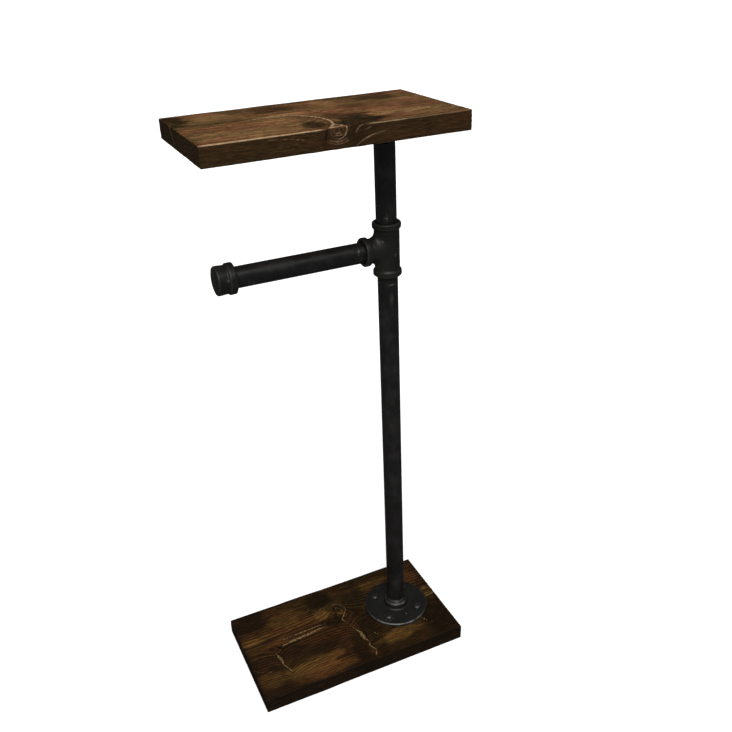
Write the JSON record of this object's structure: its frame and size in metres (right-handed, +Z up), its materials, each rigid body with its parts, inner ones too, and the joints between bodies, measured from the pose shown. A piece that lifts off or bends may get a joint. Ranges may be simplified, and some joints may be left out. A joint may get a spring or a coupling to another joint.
{
  "type": "toilet paper holder",
  "caption": "Free-standing toilet paper holder: black iron pipe post and side arm between a dark-stained pine base board and a matching small shelf.",
  "frame": {"origin": "centre of the base board's underside, on the floor", "axes": "+Z up along the post, +X along the boards towards the end where the post stands, so the arm points to -X, and +Y across the boards"},
  "size_m": [0.254, 0.1396, 0.6403],
  "materials": {
    "stained_pine": "dark walnut stain with burnt edges over brushed pine grain, thin satin coat",
    "cast_iron": "black malleable iron with a fine cast skin, satin",
    "black_pipe": "black lacquered steel pipe, satin with small runs and scuffs",
    "black_screw": "black coated steel, satin"
  },
  "bodies": {
    "stand": {"base_board": "stained_pine", "base_flange": "cast_iron", "base_flange_screw_1": "black_screw", "base_flange_screw_2": "black_screw", "base_flange_screw_3": "black_screw", "base_flange_screw_4": "black_screw", "post_pipe": "black_pipe"},
    "head": {"tee": "cast_iron", "upper_pipe": "black_pipe", "arm_pipe": "black_pipe"},
    "cap": {"arm_cap": "cast_iron"},
    "shelf": {"shelf_board": "stained_pine", "shelf_flange": "cast_iron", "shelf_flange_screw_1": "black_screw", "shelf_flange_screw_2": "black_screw", "shelf_flange_screw_3": "black_screw", "shelf_flange_screw_4": "black_screw"}
  },
  "joints": [
    {"name": "tee_swivel", "type": "hinge", "parent": "stand", "child": "head", "pos_m": [0.072, 0, 0.49795], "axis": [0, 0, 1], "range_deg": [-90, 90]},
    {"name": "shelf_swivel", "type": "hinge", "parent": "head", "child": "shelf", "pos_m": [0.072, 0, 0.61495], "axis": [0, 0, 1], "range_deg": [-90, 90]},
    {"name": "cap_pull", "type": "slide", "parent": "head", "child": "cap", "axis": [-1, 0, 0], "range_m": [0, 0.03]}
  ]
}
